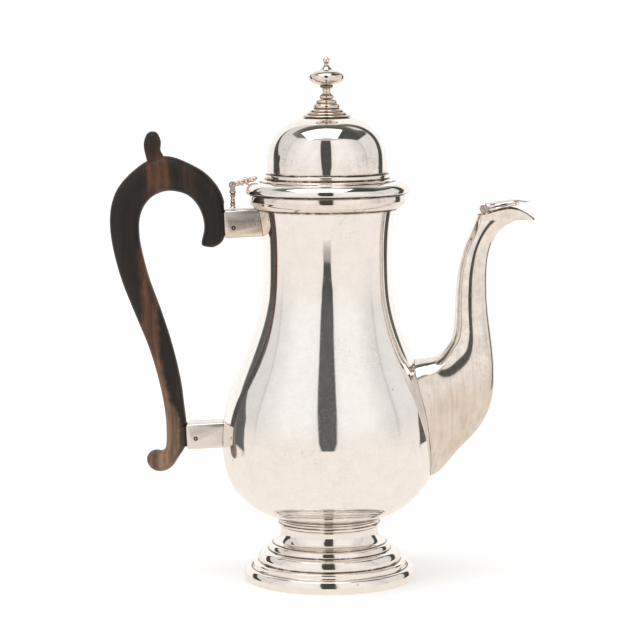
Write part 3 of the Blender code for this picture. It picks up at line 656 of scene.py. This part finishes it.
def silver(name, tint, warm_share=0.35, base_rough=0.035, wear=0.5, haze=None, low_tint=None,
           cloud=(0.96, 1.025), streaks=None):
    """Polished silver with scratches, pits, warm tarnish, and dark residue with painted shade in
    its crevices.

    cloud: how dark and light its soft patches are.
    haze: (low, high, amount), a scatter of light that fades between two heights.
    low_tint: (low, high, colour), a colour below a height, which fades out between two heights.
    streaks: (stretch, amount, low, high), polishing lines that fade between two heights."""
    material, n, shader = new_material(name)
    where = n.add('TexCoord').outputs['Object']
    up = n.split(where)[2]
    clouds = n.noise(where, 38.0, 4.0, 0.6)
    blotch = n.noise(where, 150.0, 3.0, 0.65)
    speck = n.noise(where, 900.0, 2.0, 0.7)
    # soft warm tarnish
    mottled = n.times(n.ramp(clouds, 0.46, 0.74), n.ramp(blotch, 0.30, 0.72), True)
    colour = n.mix(n.times(mottled, warm_share), tint, WARM)
    rough = n.plus(base_rough, n.times(mottled, 0.05))
    # worn patches, with fine grey grain in them
    worn = n.times(n.ramp(n.noise(where, 26.0, 3.0, 0.6), 0.50, 0.68), wear)
    grain = n.times(n.ramp(n.noise(where, 620.0, 3.0, 0.75), 0.50, 0.70), worn, True)
    colour = n.mix(n.times(grain, 0.34), colour, GRAIN)
    rough = n.plus(rough, n.times(grain, 0.12))
    cloudy = n.ramp(n.noise(where, 170.0, 6.0, 0.72), 0.28, 0.72, *cloud)
    colour = n.scaled(colour, cloudy)
    if low_tint is not None:
        low, high, low_tint_colour = low_tint
        share = n.times(n.fade(up, low, high), n.ramp(clouds, 0.30, 0.62, 0.55, 1.0))
        share = n.times(share, n.ramp(blotch, 0.30, 0.70, 0.75, 1.0))
        colour = n.mix(share, colour, low_tint_colour)
    if streaks is not None:
        stretch, amount, low, high = streaks
        drawn = n.noise(where, 420.0, 3.0, 0.6, stretch=stretch)
        drawn = n.times(n.ramp(drawn, 0.44, 0.70, 0.0, amount), n.fade(up, low, high))
        colour = n.mix(drawn, colour, POLISH_LINE)
    # small pits and spots
    pits = n.add('TexVoronoi', {'Vector': where, 'Scale': 95.0})
    spot = n.times(n.fade(pits.outputs['Distance'], 0.035, 0.10),
                   n.ramp(n.noise(where, 60.0, 1.0, 0.5), 0.60, 0.66))
    colour = n.mix(n.times(spot, 0.55), colour, SPOT)
    # fine scratches
    lines = []
    for turn, stretch, scale in SCRATCHES:
        noise = n.noise(where, scale, 2.0, 0.6, stretch, (turn, turn * 0.7, turn * 1.3))
        lines.append(n.ramp(noise, 0.62, 0.70))
    scratches = n.plus(n.plus(lines[0], lines[1]), lines[2])
    rough = n.plus(rough, n.times(scratches, 0.045))
    colour = n.mix(n.times(n.times(scratches, worn, True), 0.30), colour, SCUFF)
    rough = n.plus(rough, n.ramp(speck, 0.5, 0.8, 0.0, 0.06))
    # dark residue and painted shade in the crevices, corners and joints
    depth = n.add('Attribute', attribute_name="crevice").outputs['Fac']
    dirt_shade_mask = n.times(depth, n.ramp(blotch, 0.25, 0.60, 0.45, 1.2), True)
    colour = n.mix(n.times(n.ramp(dirt_shade_mask, 0.0, 0.45), 0.45), colour, RESIDUE_SHADE_EDGE)
    colour = n.mix(n.times(n.ramp(dirt_shade_mask, 0.35, 1.0), 0.92), colour, RESIDUE_SHADE)
    rough = n.plus(rough, n.times(dirt_shade_mask, 0.3))
    # a gentle unevenness of the sheet, the scratches and the pits
    relief = n.plus(n.times(n.noise(where, 55.0, 2.0, 0.4), 0.9), n.times(scratches, -0.012))
    relief = n.plus(relief, n.times(spot, -0.12))
    metallic = 1.0
    if haze is not None:
        low, high, amount = haze
        veil = n.times(n.ramp(up, low, high, 1.0, 0.25), n.ramp(speck, 0.35, 0.65, 0.65, 1.25))
        metallic = n.minus(1.0, n.times(veil, amount))
    n.fill(shader, {'Base Color': colour, 'Roughness': rough, 'Metallic': metallic,
                    'Normal': n.bump(relief, 0.10, 0.0006)})
    return material


WOOD_BLACK, WOOD_BROWN, WOOD_PALE = (
    (0.020, 0.017, 0.015), (0.190, 0.084, 0.048), (0.330, 0.205, 0.130))
WOOD_GRAIN, WOOD_PORE = (0.030, 0.020, 0.016), (0.012, 0.010, 0.009)
# The brown band's edges in metres from the body's axis, at the handle's top.
BROWN_LEFT, BROWN_RIGHT = -0.0949, -0.0826


def dark_wood(name):
    """Old dark hardwood: near black with reddish-brown streaks along the grain, waxed."""
    material, n, shader = new_material(name)
    where = n.add('TexCoord').outputs['Object']
    across, depth, up = n.split(where)
    sway = n.times(n.minus(n.noise(where, 9.0, 2.0, 0.5), 0.5), 0.018)
    swaying = {0: n.plus(across, sway), 1: depth, 2: up}
    vector = n.add('CombineXYZ', swaying).outputs[0]
    streaks = n.noise(vector, 42.0, 4.0, 0.55, (1.0, 0.8, 0.10))
    grain = n.noise(vector, 260.0, 4.0, 0.7, (1.0, 1.0, 0.05))
    pores = n.noise(vector, 900.0, 2.0, 0.6, (1.0, 1.0, 0.06))
    fibres = n.noise(vector, 150.0, 4.0, 0.65, (1.0, 0.8, 0.06))
    # one broad upright band is reddish brown, and turns pale towards the lower scroll
    wobble = n.times(n.minus(n.noise(where, 45.0, 5.0, 0.7), 0.5), 0.014)
    place = n.plus(across, wobble)
    right = n.plus(AXIS_X * MM + BROWN_RIGHT, n.ramp(up, 0.150, 0.205, -0.0078, 0.0))
    right = n.plus(right, n.ramp(up, 0.070, 0.124, 0.0120, 0.0))
    left = n.plus(AXIS_X * MM + BROWN_LEFT, n.ramp(up, 0.168, 0.205, -0.0055, 0.0))
    left = n.plus(left, n.ramp(up, 0.11, 0.13, -0.012, 0.0))
    band = n.times(n.ramp(n.minus(place, left), -0.0020, 0.0024),
                   n.ramp(n.minus(right, place), -0.0016, 0.0022))
    band = n.times(band, n.ramp(up, 0.224, 0.232, 1.0, 0.3))
    band = n.times(band, n.ramp(fibres, 0.34, 0.58, 0.35, 1.0))
    thin = n.times(n.ramp(fibres, 0.50, 0.68), n.ramp(across, -0.098, -0.086, 0.06, 0.24))
    brown_share = n.larger(n.times(band, n.ramp(streaks, 0.32, 0.60, 0.55, 1.0)), thin)
    brown = n.mix(n.fade(up, 0.080, 0.130), WOOD_BROWN, WOOD_PALE)
    colour = n.mix(brown_share, WOOD_BLACK, brown)
    colour = n.mix(n.ramp(grain, 0.42, 0.66, 0.0, 0.45), colour, WOOD_GRAIN)
    colour = n.mix(n.ramp(pores, 0.60, 0.72, 0.0, 0.5), colour, WOOD_PORE)
    relief = n.plus(n.times(grain, 0.5), n.times(pores, -0.4))
    n.fill(shader, {'Base Color': colour, 'Roughness': n.ramp(grain, 0.3, 0.7, 0.36, 0.50),
                    'Normal': n.bump(relief, 0.35, 0.0004), 'Specular IOR Level': 0.24})
    return material


SILVER = silver("polished_silver", tint=(0.938, 0.905, 0.872), haze=(0.140, 0.170, 0.085))
SILVER_LID = silver("lid_silver", tint=(0.920, 0.875, 0.830), wear=1.6,
                    haze=(0.30, 0.40, 0.03), cloud=(0.92, 1.03))
SILVER_SMALL = silver("turned_silver", tint=(0.915, 0.870, 0.822), warm_share=0.7,
                      base_rough=0.05, wear=0.9)
SILVER_SPOUT = silver("spout_silver", tint=(0.885, 0.825, 0.770), warm_share=0.75,
                      base_rough=0.09, wear=1.0, haze=(0.12, 0.16, 0.06),
                      low_tint=(0.095, 0.125, (0.74, 0.64, 0.545)), cloud=(0.84, 1.08),
                      streaks=((1.0, 1.0, 0.05), 0.26, 0.165, 0.185))
SILVER_BAND = silver("band_silver", tint=(0.885, 0.825, 0.770), warm_share=0.8,
                     base_rough=0.06, wear=1.3, cloud=(0.90, 1.05))
SILVER_FINIAL = silver("finial_silver", tint=(0.845, 0.780, 0.720), warm_share=0.8,
                       base_rough=0.06, wear=1.5, cloud=(0.86, 1.05),
                       low_tint=(0.262, 0.266, (0.72, 0.60, 0.52)))
SILVER_SOCKET = silver("socket_silver", tint=(0.84, 0.79, 0.74), warm_share=0.6,
                       base_rough=0.24, wear=1.0)
# upper socket: a darker copy of the socket silver as painted shade, with a pale warm painted
# reflection on its lower half below the pin
SILVER_SOCKET_TOP_SHADED = silver(
    "upper_socket_shaded_silver", tint=(0.64, 0.60, 0.56), warm_share=0.4, base_rough=0.25, wear=1.4,
    low_tint=(UPPER_PIN[1] * MM, UPPER_PIN[1] * MM + 0.004, (0.93, 0.80, 0.69)),
    streaks=((0.06, 1.0, 1.0), 0.40, 0.30, 0.31))
SILVER_INSIDE = silver("inner_silver", tint=(0.80, 0.77, 0.72), base_rough=0.22)
PIN_SILVER = silver("pin_silver", tint=(0.62, 0.57, 0.52), base_rough=0.28)
WOOD = dark_wood("dark_hardwood")

# ---- body and foot
outer, _ = fine_profile(BODY, False, 0.6)
outer[:, 0] = np.minimum(outer[:, 0], BELLY)
# the body darkens at its joints with the band and the collar: residue and painted shade
body = shell("body_skin", outer, SILVER, "pot", "body_shell", (199.7, 34.6))
holes = bmesh.new()
for row in STRAINER_ROWS:
    for column in STRAINER_COLUMNS:
        join(holes, rod((STRAINER_X, column, row), STRAINER_RADIUS, THROUGH, STRAINER_ROUND, 'X'))
boolean(body, holes, 'DIFFERENCE')

turned("rim_moulding", BAND, SILVER_BAND, "pot", "rim_band")
turned("foot_ring", COLLAR, SILVER_SMALL, "pot", "foot_collar")
turned("foot_spool", FOOT, SILVER_SMALL, "pot", "foot")
turned("foot_edge", FOOT_RIM, SILVER_SMALL, "pot", "foot_rim")

# ---- lid
# the dome darkens at its joint with the flange: residue and painted shade
shell("lid_cover", dome_profile(), SILVER_LID, "lid", "lid_dome", (DOME_BASE,))
turned("lid_moulding", FLANGE, SILVER_SMALL, "lid", "lid_flange")
turned("lid_sleeve", BEZEL, SILVER_INSIDE, "lid", "lid_bezel")
turned("finial_steps", FINIAL_BASE, SILVER_FINIAL, "lid", "finial_base",
       segments=SMALL_ROUND, step=0.3)
turned("finial_turning", FINIAL_KNOB, SILVER_FINIAL, "lid", "finial_knob",
       closed=False, segments=SMALL_ROUND, step=0.3)


# ---- lid hinge
def lid_arm():
    """The shaped arm, with the hinge's middle knuckle and the hole for its pin."""
    start = upright(ARM_START)
    along = upright(ARM_END) - start
    across = upright((-along[2], along[0]))
    across /= np.linalg.norm(across)
    rings = [[start + along * share + across * high * math.cos(angle)
              + np.array([0.0, wide * math.sin(angle), 0.0]) for angle in circle(ARM_ROUND)]
             for share, high, wide in ARM]
    piece = finish_piece("lid_strap", loft(rings, True), SILVER_FINIAL, "lid", "lid_arm")
    centre = (HINGE_X, 0.0, HINGE_Z)
    boolean(piece, rod(centre, *ARM_KNUCKLE, 40, bevel=0.25), 'UNION')
    boolean(piece, rod(centre, PIN_RADIUS, THROUGH_SMALL), 'DIFFERENCE')


turned("hinge_column", POST, SILVER_FINIAL, "pot", "hinge_post",
       closed=False, segments=32, middle_x=HINGE_X, step=0.3)
lid_arm()


# ---- sockets and handle
def socket_solid(size, end_x, body_x, shrink, bevel):
    """A long box with rounded edges, tilted up towards the body."""
    start, bottom, top = size
    half = SOCKET_HALF_WIDTH - shrink
    low, high = bottom + shrink, top - shrink
    middle = (low + high) / 2
    inner, upper, lower = half - bevel, high - bevel, low + bevel
    ring = []
    for quadrant, (y, z) in enumerate(((inner, upper), (-inner, upper), (-inner, lower),
                                       (inner, lower))):
        for step in range(5):
            angle = math.pi / 2 * (quadrant + step / 4)
            ring.append((y + bevel * math.cos(angle), z + bevel * math.sin(angle)))
    lip = ((0.0, 1.0),) if end_x <= start - PAST_END else SOCKET_LIP
    stations = [(end_x + depth, share) for depth, share in lip] + [(body_x, 1.0)]
    shape = loft([[(x, y * share, middle + (z - middle) * share) for y, z in ring]
                  for x, share in stations], True)
    centre = Matrix.Translation((start, 0.0, bottom))
    return moved(shape, centre @ Matrix.Rotation(-SOCKET_TILT, 4, 'Y') @ centre.inverted())


def pin_hole(pin):
    return rod(upright(pin), PIN_RADIUS + PIN_GAP, THROUGH)


def socket(name, size, root, pin, node, material):
    """A hollow square socket, cut to the body's outside and drilled for its pin."""
    shape = socket_solid(size, size[0], root, 0.0, SOCKET_BEVEL)
    piece = finish_piece(name, shape, material, "pot", node)
    hollow = socket_solid(size, size[0] - PAST_END, size[0] + TENON + TENON_GAP, SHEET,
                          HOLLOW_BEVEL)
    for shape in (hollow, body_cutter(), pin_hole(pin)):
        boolean(piece, shape, 'DIFFERENCE')
    smooth(piece, SOCKET_SHARP)


def handle():
    """The scrolled handle with its thumb piece, and a tenon in each socket."""
    rings = [ring_between(*row, HANDLE_ROUND, HANDLE_SQUARE)
             for row in smooth_stations(HANDLE, HANDLE_STATIONS)]
    grip = finish_piece("handle_scroll", loft(rings, True), WOOD, "pot", "handle")
    rings = [ring_between(*row, THUMB_ROUND, THUMB_SQUARE)
             for row in smooth_stations(THUMB, THUMB_STATIONS)]
    boolean(grip, loft(rings, True), 'UNION')
    for size in (UPPER_SOCKET, LOWER_SOCKET):
        end = size[0]
        seat = socket_solid(size, end - SEAT_GAP, end + SEAT_LENGTH, -SEAT_MARGIN, SEAT_BEVEL)
        boolean(grip, seat, 'DIFFERENCE')
        tenon = socket_solid(size, end - PAST_END, end + TENON, SHEET + TENON_GAP, TENON_BEVEL)
        boolean(grip, tenon, 'UNION')
    for pin in (UPPER_PIN, LOWER_PIN):
        boolean(grip, pin_hole(pin), 'DIFFERENCE')
    smooth(grip)


def socket_pin(name, node, pin):
    """A pin with a ring groove in each end."""
    end = SOCKET_HALF_WIDTH + 0.2
    # the third value darkens the grooves and the shaft with residue and painted shade
    profile = mirrored([(0.0, end, 0), (0.42, end, 0), (0.56, end - 0.3, 1), (0.94, end - 0.3, 1),
                        (PIN_RADIUS, end - 0.5, 1)])
    shape = lathe([point[:2] for point in profile], False, 32, [point[2] for point in profile])
    place = Matrix.Translation(upright(pin)) @ Matrix.Rotation(math.pi / 2, 4, 'X')
    finish_piece(name, moved(shape, place), PIN_SILVER, "pot", node)


socket("upper_socket_box", UPPER_SOCKET, UPPER_ROOT, UPPER_PIN, "upper_socket", SILVER_SOCKET_TOP_SHADED)
socket("lower_socket_box", LOWER_SOCKET, LOWER_ROOT, LOWER_PIN, "lower_socket", SILVER_SOCKET)
handle()
socket_pin("upper_socket_pin", "upper_pin", UPPER_PIN)
socket_pin("lower_socket_pin", "lower_pin", LOWER_PIN)


# ---- spout and its flap
def mouth_ring():
    """The spout's lip: an arched outline that narrows to a beak."""
    ring = ring_between(MOUTH_BACK, MOUTH_TIP, MOUTH_HALF_WIDTH, SPOUT_ROUND, MOUTH_SQUARE)
    span = MOUTH_TIP[0] - MOUTH_BACK[0]
    for point in ring:
        share = (point[0] - MOUTH_BACK[0]) / span
        point[2] += MOUTH_RISE * math.sin(math.pi * min(max(share, 0.0), 1.0) ** MOUTH_SKEW)
        point[1] *= 1.0 - MOUTH_TAPER * share ** 3
    return ring


def spout():
    """The swan-neck spout, open at both ends and cut to the body's outside."""
    rings = [ring_between(a, b, half, SPOUT_ROUND, SPOUT_SQUARE,
                          SPOUT_EGG * min(1.0, NECK_LENGTH / math.dist(a, b)))
             for a, b, half in smooth_stations(SPOUT, SPOUT_STATIONS)]
    neck, mouth = rings[-1], mouth_ring()
    for step in range(1, MOUTH_STEPS + 1):
        share = step / MOUTH_STEPS
        blend = share * share * (3 - 2 * share) * MOUTH_EASE + share * (1 - MOUTH_EASE)
        rings.append([low + (high - low) * blend for low, high in zip(neck, mouth)])
    # the lip's last ring carries dark residue and painted shade along the mouth
    skin = loft(rings, False, dirt_shade_rings=1)
    piece = finish_piece("spout_neck", skin, SILVER_SPOUT, "pot", "spout")
    wall = piece.modifiers.new("Wall", 'SOLIDIFY')
    wall.thickness = SHEET * MM
    wall.offset = -1.0
    boolean(piece, body_cutter(), 'DIFFERENCE')
    smooth(piece)


def flap():
    """The leaf-shaped flap with a groove round its edge, and its knuckle."""
    sides = [(1, *point) for point in FLAP_SECTION]
    sides += [(-1, *point) for point in FLAP_SECTION[-2::-1]]
    rings = []
    for x, bottom, top, half in spline(FLAP, FLAP_STATIONS):
        half, thick = max(half, FLAP_NARROW), max(top - bottom, FLAP_THIN)
        rings.append([np.array([x, side * half * across, bottom + thick * rise])
                      for side, across, rise in sides])
    piece = finish_piece("spout_cover", loft(rings, True), SILVER_SPOUT, "flap", "spout_flap")
    centre = (FLAP_X, 0.0, FLAP_Z)
    boolean(piece, rod(centre, FLAP_KNUCKLE, FLAP_HALF, 48, bevel=0.2), 'UNION')
    boolean(piece, rod(centre, FLAP_PIN, THROUGH_SMALL), 'DIFFERENCE')
    smooth(piece)


spout()
flap()

# ---- carried-over CAD pieces
for material, nodes in (
        (SILVER_SOCKET, ("hinge_fork", "spout_lug_near", "spout_lug_far")),
        (SILVER_SMALL, ("finial_washer", "finial_nut")),
        (PIN_SILVER, ("hinge_pin", "spout_flap_pin"))):
    for node in nodes:
        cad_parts[node].material_slots[0].material = material


# ---- studio
def paper_floor():
    """A sheet of white paper. In reflections it is the soft warm white of lit paper."""
    half, front, back = FLOOR
    mesh = bpy.data.meshes.new("floor")
    mesh.from_pydata([(-half, front, 0.0), (half, front, 0.0), (half, back, 0.0),
                      (-half, back, 0.0)], [], [(0, 1, 2, 3)])
    floor = new_object("floor", mesh)
    material, n, shader = new_material("floor_paper")
    n.fill(shader, {'Base Color': (0.90, 0.90, 0.90), 'Roughness': 0.95, 'Specular IOR Level': 0.0,
                    'Emission Color': (1.0, 1.0, 1.0), 'Emission Strength': 0.32})
    grain = n.noise(n.add('TexCoord').outputs['Object'], 6.0, 2.0)
    reflected = n.mix(grain, (0.945, 0.885, 0.825), (0.97, 0.915, 0.86))
    seen = n.add('Emission', {'Color': reflected})
    chosen = n.choose('Is Glossy Ray', shader.outputs[0], seen.outputs[0])
    n.fill(n.tree.nodes["Material Output"], {0: chosen})
    mesh.materials.append(material)


def studio_world():
    """A tall softbox on each side, a top light and a white backdrop, in a dark room."""
    world = bpy.data.worlds.new("studio")
    scene.world = world
    world.use_nodes = True
    n = Nodes(world.node_tree)
    direction = n.add('TexCoord').outputs['Generated']
    x, y, z = n.split(direction)
    azimuth = n.math('DEGREES', n.math('ARCTAN2', x, n.times(y, -1.0)))
    height = n.math('DEGREES', n.math('ARCSINE', z))
    above = n.larger(height, 0.0)
    below = n.math('MINIMUM', n.larger(height, TABLE_EDGE), 0.0)
    up = n.larger(z, 0.02)
    ceiling_x, ceiling_y = n.math('DIVIDE', x, up), n.math('DIVIDE', y, up)

    def line(start, *terms):
        for value, slope in terms:
            start = n.plus(start, n.times(value, slope))
        return start

    def distance(value, middle):
        return n.math('ABSOLUTE', n.minus(value, middle))

    def inside(value, low, high, soft):
        """1 between two limits, with soft edges."""
        return n.times(n.ramp(n.minus(value, low), -soft, soft),
                       n.fade(n.minus(value, high), -soft, soft))

    # the ceiling's dark opening, with straight edges when seen on a flat ceiling
    front_edge = n.larger(line(-0.665, (ceiling_x, 0.5)), line(-0.977, (ceiling_x, -1.11)))
    front_edge = n.larger(front_edge, -0.50)
    back_edge = line(0.50, (n.ramp(ceiling_x, 0.55, 1.0), 0.50))
    opening = n.times(inside(ceiling_x, -0.88, 1.07, 0.05),
                      inside(ceiling_y, front_edge, back_edge, 0.06))
    opening = n.times(opening, n.ramp(z, 0.2, 0.3))

    # softboxes: edges that lean with height, a seam, and light that falls off to the side as
    # (from, to, first share, last share)
    left = n.times(azimuth, -1.0)
    rise = n.larger(line(-6.0, (height, 1.0)), 0.0)
    boxes = (
        (left, line(10.6, (above, 0.11), (below, 0.5)), line(104.0, (rise, 1.3)), 87.0,
         ((10.0, 24.0, 0.90, 1.0), (48.0, 82.0, 1.0, 0.84), (82.0, 92.0, 1.0, 0.90)),
         (1.004, 0.985, 0.975)),
        (azimuth, line(8.4, (above, 0.03), (below, 0.5)), line(115.0, (above, 0.55)), 82.0,
         ((8.0, 20.0, 0.90, 1.0), (44.0, 80.0, 1.0, 0.78), (80.0, 92.0, 1.0, 1.06)),
         (1.004, 0.980, 0.966)))
    sides = []
    for turn, inner, rear, seam, falloff, colour in boxes:
        light = 1.0
        for low, high, first, last in falloff:
            light = n.times(light, n.ramp(turn, low, high, first, last))
        light = n.times(light, n.ramp(distance(turn, seam), 0.6, 3.0, 0.82, 1.0))
        low_down = n.ramp(height, TABLE_EDGE, 10.0, 0.2, 1.0)
        light = n.plus(1.0, n.times(n.minus(light, 1.0), low_down))
        light = n.times(light, n.ramp(height, -4.0, 16.0, 0.95, 1.0))
        glow = n.mix(n.ramp(height, TABLE_EDGE, 15.0, 0.8, 0.0), n.scaled(colour, light),
                     n.scaled(PAPER_LIT, light))
        sides.append((inside(turn, inner, rear, 1.2), glow))
    backdrop = ((left, line(123.0, (above, 0.62))), (azimuth, line(132.0, (above, 0.52))))
    wall = n.larger(*[n.ramp(n.minus(turn, edge), -2.5, 2.5) for turn, edge in backdrop])

    # the dark room: darkest on the right, greyer and warmer behind and on the left
    room = n.mix(n.noise(direction, 5.0, 3.0, 0.6), (0.045, 0.046, 0.043), (0.085, 0.086, 0.080))
    leftward = n.times(n.ramp(ceiling_x, -0.45, -0.7), n.ramp(z, 0.55, 0.7))
    room = n.mix(n.times(leftward, 0.13), room, (0.95, 0.93, 0.90))
    behind = n.times(n.ramp(ceiling_y, 0.18, 0.5), n.ramp(z, 0.6, 0.8))
    room = n.mix(n.times(behind, 0.09), room, (1.0, 0.90, 0.80))
    light = room
    for shape, colour in sides:
        light = n.mix(shape, light, colour)
    light = n.mix(wall, light, (1.06, 1.04, 1.02))
    light = n.mix(n.times(opening, n.minus(1.0, n.ramp(ceiling_y, 0.75, 1.1))), light, room)
    # a pale bar across the front of the opening, and the top light
    bar = n.times(n.fade(distance(height, 60.5), 1.0, 5.0),
                  n.fade(distance(azimuth, 4.0), 22.0, 44.0))
    light = n.mix(bar, light, (0.62, 0.60, 0.585))
    top = n.times(inside(ceiling_x, -0.605, 0.32, 0.012), inside(ceiling_y, -0.45, 0.17, 0.012))
    light = n.mix(n.times(top, n.ramp(z, 0.3, 0.4)), light, (2.4, 2.4, 2.42))
    # what shows beyond the table's front edge, with a dark gap at the camera
    gap = n.times(n.fade(distance(azimuth, -1.2), 5.5, 8.5), n.ramp(height, -17.0, -6.6, 0.0, 0.80))
    paper = n.mix(gap, (0.955, 0.895, 0.845), (0.28, 0.27, 0.26))
    in_front = n.times(n.fade(height, -6.9, -6.0), n.fade(n.math('ABSOLUTE', azimuth), 95.0, 103.0))
    studio = n.tree.nodes["Background"]
    n.fill(studio, {'Color': n.mix(in_front, light, paper)})
    white = n.add('Background', {'Color': (1.06, 1.06, 1.06)})
    chosen = n.choose('Is Camera Ray', studio.outputs[0], white.outputs[0])
    n.fill(n.tree.nodes["World Output"], {0: chosen})


paper_floor()
studio_world()
scene.view_settings.view_transform = 'Standard'

camera_data = bpy.data.cameras.new("camera")
camera_data.lens = CAMERA_LENS
camera_data.sensor_width = 36.0
camera_data.clip_end = 20.0
camera = new_object("camera", camera_data)
side, back, rise = CAMERA_PLACE
camera.matrix_world = (Matrix.Translation((AXIS_X * MM + side, back, rise))
                       @ Matrix.Rotation(math.radians(90 - CAMERA_PITCH), 4, 'X')
                       @ Matrix.Rotation(math.radians(CAMERA_ROLL), 4, 'Z'))
scene.camera = camera
